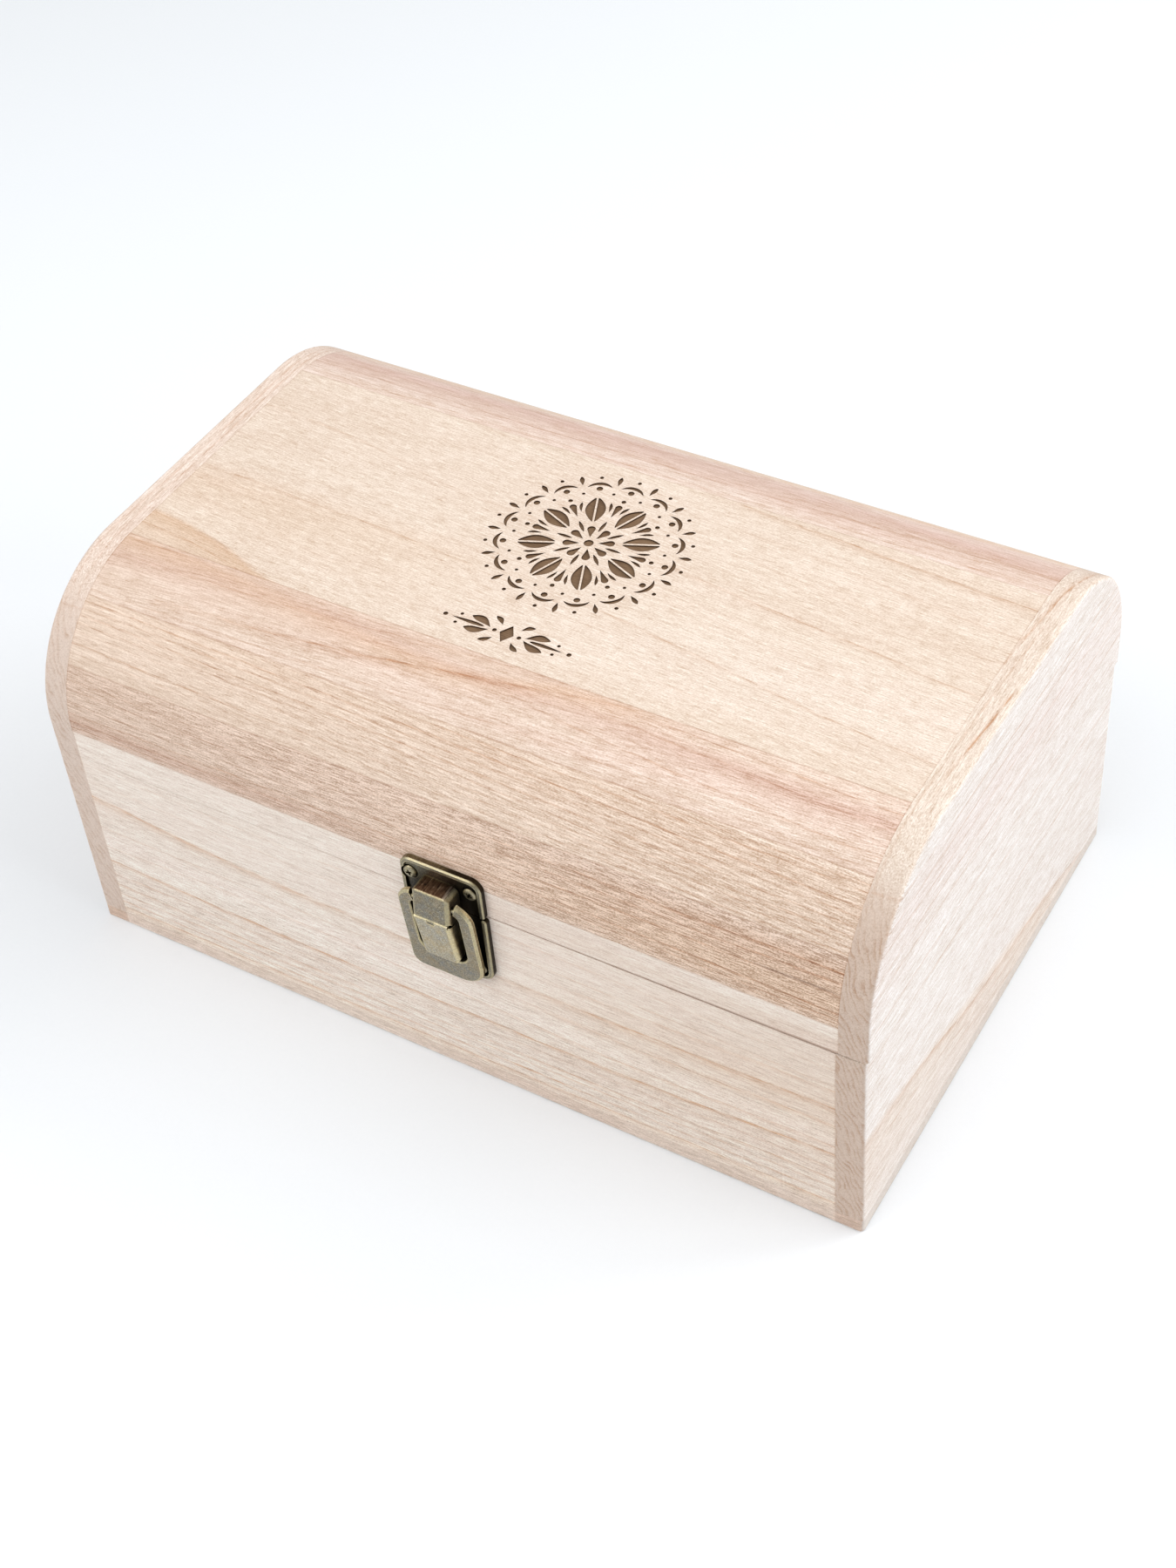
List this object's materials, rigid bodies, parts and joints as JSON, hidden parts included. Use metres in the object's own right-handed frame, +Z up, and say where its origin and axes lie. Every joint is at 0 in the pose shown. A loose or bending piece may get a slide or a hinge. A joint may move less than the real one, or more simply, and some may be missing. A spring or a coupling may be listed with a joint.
{
  "type": "keepsake box",
  "caption": "Dome-top wooden keepsake chest: glued pale boards, a lid of bevelled staves on rear butt hinges, and a cast brass clasp with a hinged tongue and drop ring.",
  "frame": {"origin": "centre of the underside of the base", "axes": "+X along the length to the right, +Y to the rear, where the hinges are, +Z up; the clasp is on the -Y face"},
  "size_m": [0.3109, 0.2141, 0.15],
  "materials": {
    "wood_wall": "bare sanded pale wood, fine straight grain",
    "wood_panel": "bare sanded pale wood",
    "wood_end": "bare sanded pale wood, end grain at front and rear",
    "wood_top": "bare sanded pale wood with an engraved ornament",
    "wood_stave_tan": "bare sanded tan wood",
    "wood_stave_cream": "bare sanded cream wood with brown lines",
    "wood_stave_rose": "bare sanded rose-tinted wood",
    "antique_brass": "antique brass, dark in the recesses and rubbed bright on the edges",
    "screw_brass": "antique brass"
  },
  "bodies": {
    "base": {"base_bottom_panel": "wood_panel", "base_end_left": "wood_end", "base_end_right": "wood_end", "base_front_board": "wood_wall", "base_rear_board": "wood_wall", "latch_lower_plate": "antique_brass", "latch_lower_screws": "screw_brass", "hinge_base_leaf_left": "antique_brass", "hinge_base_leaf_right": "antique_brass", "hinge_pin_left": "screw_brass", "hinge_pin_right": "screw_brass", "hinge_base_screws": "screw_brass"},
    "lid": {"lid_end_left": "wood_end", "lid_end_right": "wood_end", "lid_front_rail": "wood_wall", "lid_front_stave_lower": "wood_stave_tan", "lid_front_stave_middle": "wood_stave_cream", "lid_front_stave_upper": "wood_stave_rose", "lid_top_board": "wood_top", "lid_rear_stave_upper": "wood_stave_rose", "lid_rear_stave_middle": "wood_stave_cream", "lid_rear_stave_lower": "wood_stave_tan", "lid_rear_rail": "wood_wall", "latch_upper_plate": "antique_brass", "latch_tongue_pin": "screw_brass", "latch_upper_screws": "screw_brass", "hinge_lid_leaf_left": "antique_brass", "hinge_lid_leaf_right": "antique_brass", "hinge_lid_screws": "screw_brass"},
    "latch_tongue": {"latch_tongue": "antique_brass"},
    "latch_ring": {"latch_ring": "antique_brass"}
  },
  "joints": [
    {"name": "lid_hinge", "type": "hinge", "parent": "base", "child": "lid", "pos_m": [0, 0.1023, 0.0867], "axis": [-1, 0, 0], "range_deg": [0, 100]},
    {"name": "tongue_hinge", "type": "hinge", "parent": "lid", "child": "latch_tongue", "pos_m": [0.00565, -0.10875, 0.08525], "axis": [-1, 0, 0], "range_deg": [0, 100]},
    {"name": "ring_pivot", "type": "hinge", "parent": "lid", "child": "latch_ring", "pos_m": [0.00565, -0.1063, 0.0915], "axis": [-1, 0, 0], "range_deg": [0, 185]}
  ]
}
